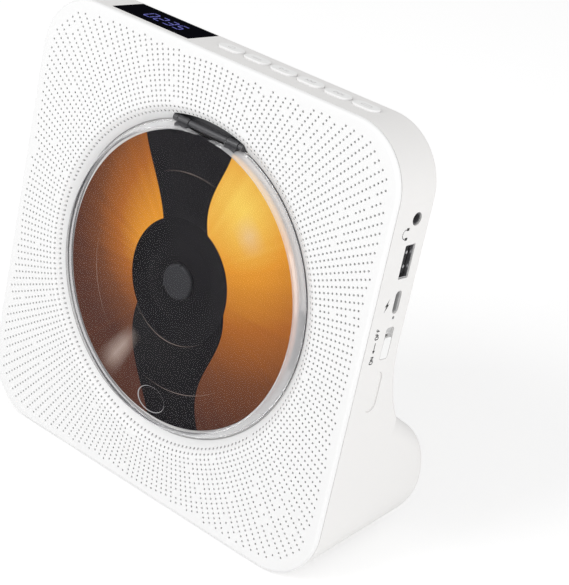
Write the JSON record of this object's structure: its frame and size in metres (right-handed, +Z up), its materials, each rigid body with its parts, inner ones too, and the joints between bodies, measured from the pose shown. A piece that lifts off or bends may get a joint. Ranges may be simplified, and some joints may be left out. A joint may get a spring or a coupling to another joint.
{
  "type": "vertical cd player",
  "caption": "Upright disc player: perforated square front with a clear hinged lid over the disc, leaning back on a deep foot, keys and display on top, sockets on the side.",
  "frame": {"origin": "middle of the footprint, on the surface the player stands on", "axes": "+Z up, +X to the right seen from the front, +Y from the front to the back"},
  "size_m": [0.186, 0.0722, 0.1843],
  "materials": {
    "white_front": "fine satin, perforated",
    "white_case": "fine satin",
    "clear": "polished",
    "dark_plastic": "satin",
    "steel": "satin",
    "disc": "printed, metallic sheen",
    "hub_plastic": "satin",
    "cloth": "fine woven",
    "rubber": "matt",
    "board": "solder mask",
    "chip": "moulded",
    "key": "fine satin",
    "display": "polished black",
    "optic": "coated lens",
    "gear": "moulded",
    "light": "clear light pipe",
    "cell": "shrink sleeve"
  },
  "bodies": {
    "case": {"audio_jack": "dark_plastic", "base_cover": "white_case", "base_screws": "steel", "battery": "cell", "board_screws": "steel", "case_screws": "steel", "chassis": "steel", "deck": "white_case", "display_glass": "display", "display_module": "chip", "feed_motor": "steel", "front_shell": "white_front", "grille_cloth": "cloth", "grommets": "rubber", "guide_rods": "steel", "hinge_bracket": "dark_plastic", "hinge_pin": "steel", "io_board": "board", "key_switches": "dark_plastic", "left_speaker_basket": "steel", "left_speaker_cone": "dark_plastic", "left_speaker_magnet": "steel", "left_speaker_surround": "rubber", "light_pipe": "light", "main_board": "board", "main_chips": "chip", "mechanism_screws": "steel", "power_switch": "dark_plastic", "rear_housing": "white_case", "right_speaker_basket": "steel", "right_speaker_cone": "dark_plastic", "right_speaker_magnet": "steel", "right_speaker_surround": "rubber", "rubber_feet": "rubber", "speaker_screws": "steel", "spindle_motor": "steel", "top_board": "board", "usb_c_socket": "steel", "usb_shell": "steel", "usb_tongue": "dark_plastic"},
    "lid": {"lid": "clear"},
    "disc": {"disc": "disc", "spindle_hub": "hub_plastic", "chuck_balls": "steel"},
    "sled": {"pickup": "dark_plastic", "lens": "optic"},
    "feed_gear": {"feed_gear": "gear"},
    "motor_pinion": {"motor_pinion": "gear"},
    "power_slider": {"power_slider": "key"},
    "key_1": {"key_1": "key"},
    "key_2": {"key_2": "key"},
    "key_3": {"key_3": "key"},
    "key_4": {"key_4": "key"},
    "key_5": {"key_5": "key"},
    "key_6": {"key_6": "key"}
  },
  "joints": [
    {"name": "lid_hinge", "type": "hinge", "parent": "case", "child": "lid", "pos_m": [0, -0.00885, 0.15379], "axis": [-1, 0, 0], "range_deg": [0, 90]},
    {"name": "disc_spin", "type": "hinge", "parent": "case", "child": "disc", "pos_m": [0, -0.01881, 0.09219], "axis": [0, 0.9877, -0.1564], "continuous": true},
    {"name": "sled_slide", "type": "slide", "parent": "case", "child": "sled", "axis": [1, 0, 0], "range_m": [0, 0.034]},
    {"name": "feed_gear_spin", "type": "hinge", "parent": "case", "child": "feed_gear", "pos_m": [0.04, -0.01225, 0.0633], "axis": [0, 0.9877, -0.1564], "range_deg": [0, 650]},
    {"name": "motor_pinion_spin", "type": "hinge", "parent": "case", "child": "motor_pinion", "pos_m": [0.04849, -0.011, 0.05452], "axis": [0, 0.9877, -0.1564], "range_deg": [-1950, 0]},
    {"name": "power_slide", "type": "slide", "parent": "case", "child": "power_slider", "axis": [0, 0.1564, 0.9877], "range_m": [0, 0.004]},
    {"name": "key_1_press", "type": "slide", "parent": "case", "child": "key_1", "axis": [0, -0.1564, -0.9877], "range_m": [0, 0.0006], "stiffness_N_per_m": 1000, "springref_m": -0.0004},
    {"name": "key_2_press", "type": "slide", "parent": "case", "child": "key_2", "axis": [0, -0.1564, -0.9877], "range_m": [0, 0.0006], "stiffness_N_per_m": 1000, "springref_m": -0.0004},
    {"name": "key_3_press", "type": "slide", "parent": "case", "child": "key_3", "axis": [0, -0.1564, -0.9877], "range_m": [0, 0.0006], "stiffness_N_per_m": 1000, "springref_m": -0.0004},
    {"name": "key_4_press", "type": "slide", "parent": "case", "child": "key_4", "axis": [0, -0.1564, -0.9877], "range_m": [0, 0.0006], "stiffness_N_per_m": 1000, "springref_m": -0.0004},
    {"name": "key_5_press", "type": "slide", "parent": "case", "child": "key_5", "axis": [0, -0.1564, -0.9877], "range_m": [0, 0.0006], "stiffness_N_per_m": 1000, "springref_m": -0.0004},
    {"name": "key_6_press", "type": "slide", "parent": "case", "child": "key_6", "axis": [0, -0.1564, -0.9877], "range_m": [0, 0.0006], "stiffness_N_per_m": 1000, "springref_m": -0.0004}
  ],
  "couplings": [
    {"joint": "feed_gear_spin", "follows": "sled_slide", "rad_per_m": 333.33},
    {"joint": "motor_pinion_spin", "follows": "sled_slide", "rad_per_m": -1000}
  ]
}
